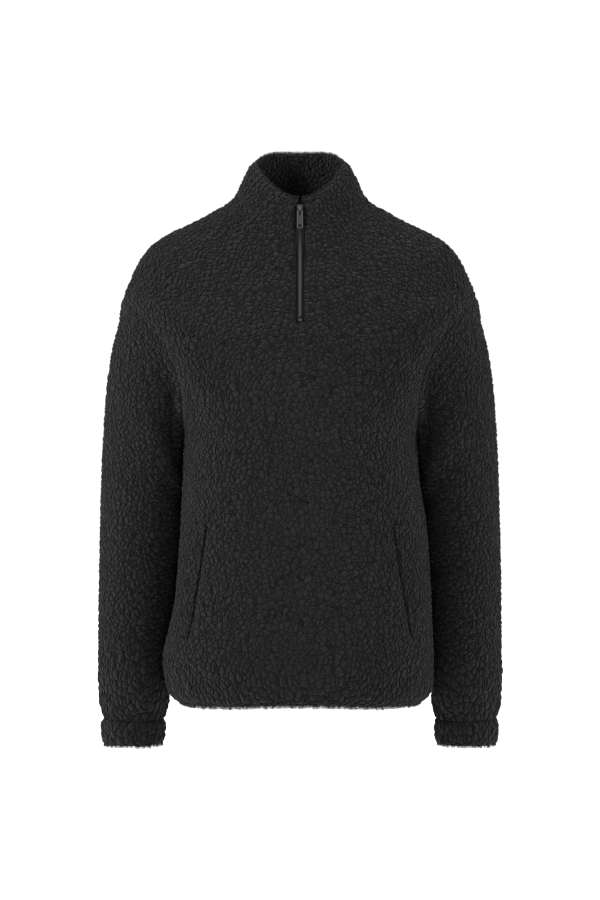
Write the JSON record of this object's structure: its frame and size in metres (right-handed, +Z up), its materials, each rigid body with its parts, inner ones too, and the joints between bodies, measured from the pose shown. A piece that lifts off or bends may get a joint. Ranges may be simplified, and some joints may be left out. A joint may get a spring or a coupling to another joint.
{
  "type": "half-zip sherpa sweatshirt worn by a person",
  "caption": "Long-sleeved half-zip sherpa sweatshirt with a standing collar, dropped shoulders, slanted welt pockets and banded cuffs, filled out as worn but empty.",
  "frame": {"origin": "midway between the neck points of the two shoulders, where the wearer's neck and shoulders hold the garment up", "axes": "+Z up, +Y towards the back, +X to the right of someone who faces the front"},
  "size_m": [0.5327, 0.2603, 0.7753],
  "materials": {
    "sherpa": "curly pile, matt",
    "pocket_bag": "plain knit, matt",
    "zip_tape": "woven, matt",
    "zip_chain": "satin",
    "zip_metal": "dark gunmetal, satin"
  },
  "bodies": {
    "garment": {"back": "sherpa", "bottom_stop": "zip_metal", "collar": "sherpa", "cuff_left": "sherpa", "cuff_right": "sherpa", "front": "sherpa", "pocket_bag_left": "pocket_bag", "pocket_bag_right": "pocket_bag", "sleeve_left": "sherpa", "sleeve_right": "sherpa", "slider": "zip_metal", "tape_left": "zip_tape", "tape_right": "zip_tape", "welt_left": "sherpa", "welt_right": "sherpa", "zip_chain": "zip_chain"},
    "pull_tab": {"pull_tab": "zip_metal"}
  },
  "joints": [
    {"name": "pull_tab_hinge", "type": "hinge", "parent": "garment", "child": "pull_tab", "pos_m": [0, -0.07222, -0.01335], "axis": [-1, 0, 0], "range_deg": [0, 160]}
  ]
}
